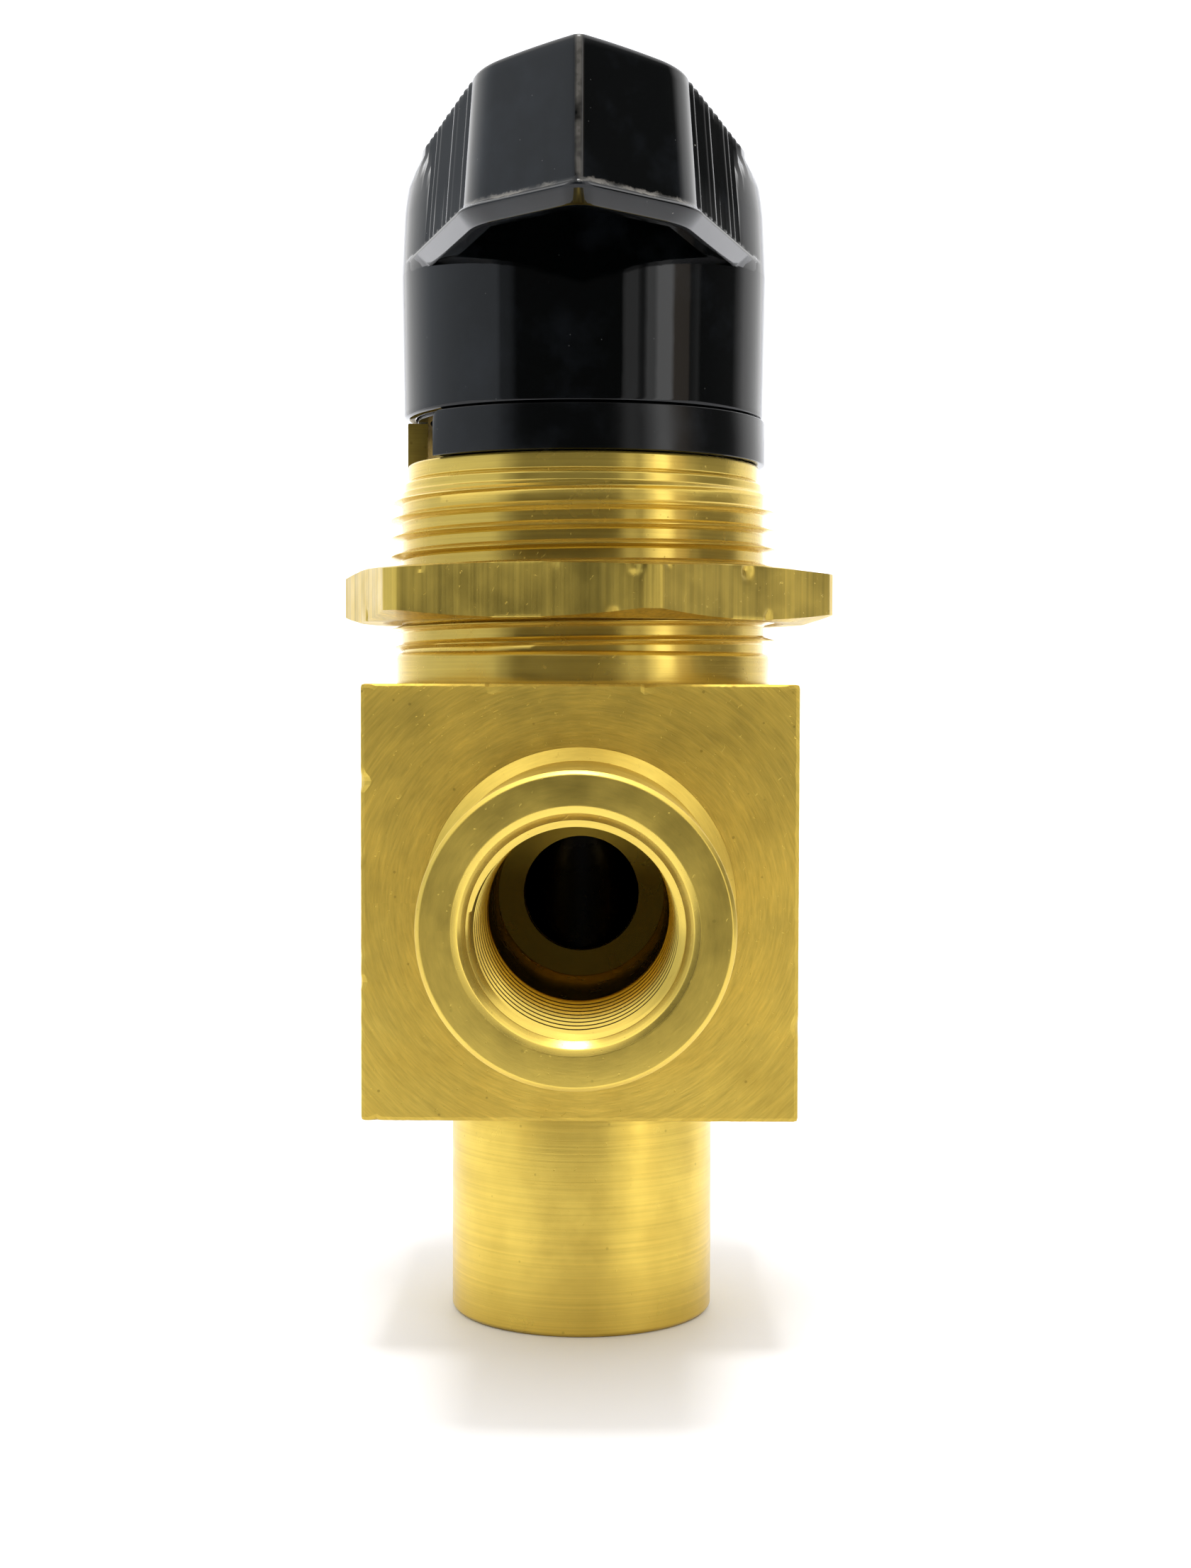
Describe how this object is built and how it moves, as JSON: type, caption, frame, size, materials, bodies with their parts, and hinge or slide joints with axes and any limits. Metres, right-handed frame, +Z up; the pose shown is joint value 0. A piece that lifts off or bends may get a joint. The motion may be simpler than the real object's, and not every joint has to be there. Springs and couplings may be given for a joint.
{
  "type": "air pressure regulator",
  "caption": "Compact in-line air pressure regulator: square brass body with round port bosses, threaded bonnet with a hexagonal panel nut, and a black plastic T-handle.",
  "frame": {"origin": "centre of the bottom cap's lower face, on the adjusting axis", "axes": "+Z up along the adjusting axis towards the handle, -Y out of the inlet port, +Y out of the outlet port"},
  "size_m": [0.0388, 0.0702, 0.0916],
  "materials": {
    "body_brass": "machined",
    "bonnet_brass": "turned",
    "nut_brass": "milled",
    "cap_brass": "turned",
    "inner_brass": "machined",
    "knob_plastic": "glossy moulded",
    "plug_plastic": "satin moulded",
    "cartridge_plastic": "moulded",
    "steel": "bright zinc",
    "spring_steel": "drawn wire",
    "seal_rubber": "nitrile"
  },
  "bodies": {
    "regulator_body": {"body_block": "body_brass", "bottom_cap": "cap_brass", "bottom_cap_seal": "seal_rubber", "bonnet": "bonnet_brass", "bonnet_seal": "seal_rubber", "valve_cartridge": "cartridge_plastic", "cartridge_seal": "seal_rubber", "stem_seal": "seal_rubber", "thrust_washer": "steel"},
    "panel_nut": {"panel_nut": "nut_brass"},
    "knob": {"knob_handle": "knob_plastic", "knob_stop_ring": "knob_plastic", "knob_screw": "steel", "knob_plug": "plug_plastic", "adjusting_spindle": "inner_brass", "spindle_retaining_ring": "steel"},
    "button": {"spring_button": "inner_brass", "range_spring": "spring_steel"},
    "piston": {"piston": "inner_brass", "piston_seal": "seal_rubber", "relief_seat": "seal_rubber"},
    "valve": {"valve_poppet": "inner_brass", "poppet_seal": "seal_rubber", "valve_stem": "steel", "valve_spring": "spring_steel"}
  },
  "joints": [
    {"name": "knob_turn", "type": "hinge", "parent": "regulator_body", "child": "knob", "pos_m": [0, 0, 0.0697], "axis": [0, 0, 1], "range_deg": [-30, 108]},
    {"name": "button_travel", "type": "slide", "parent": "regulator_body", "child": "button", "axis": [0, 0, 1], "range_m": [-0.00084, 0.00301], "deforming": ["range_spring"]},
    {"name": "piston_travel", "type": "slide", "parent": "regulator_body", "child": "piston", "axis": [0, 0, 1], "range_m": [-0.0009, 0], "stiffness_N_per_m": 1500, "springref_m": 0.0005},
    {"name": "valve_travel", "type": "slide", "parent": "regulator_body", "child": "valve", "axis": [0, 0, 1], "range_m": [-0.0009, 0], "stiffness_N_per_m": 1500, "springref_m": 0.0005, "deforming": ["valve_spring"]},
    {"name": "nut_travel", "type": "slide", "parent": "regulator_body", "child": "panel_nut", "axis": [0, 0, 1], "range_m": [-0.0023, 0.0055]}
  ],
  "couplings": [
    {"joint": "button_travel", "follows": "knob_turn", "m_per_rad": 0.0015915},
    {"joint": "valve_travel", "follows": "piston_travel", "ratio": 1}
  ]
}
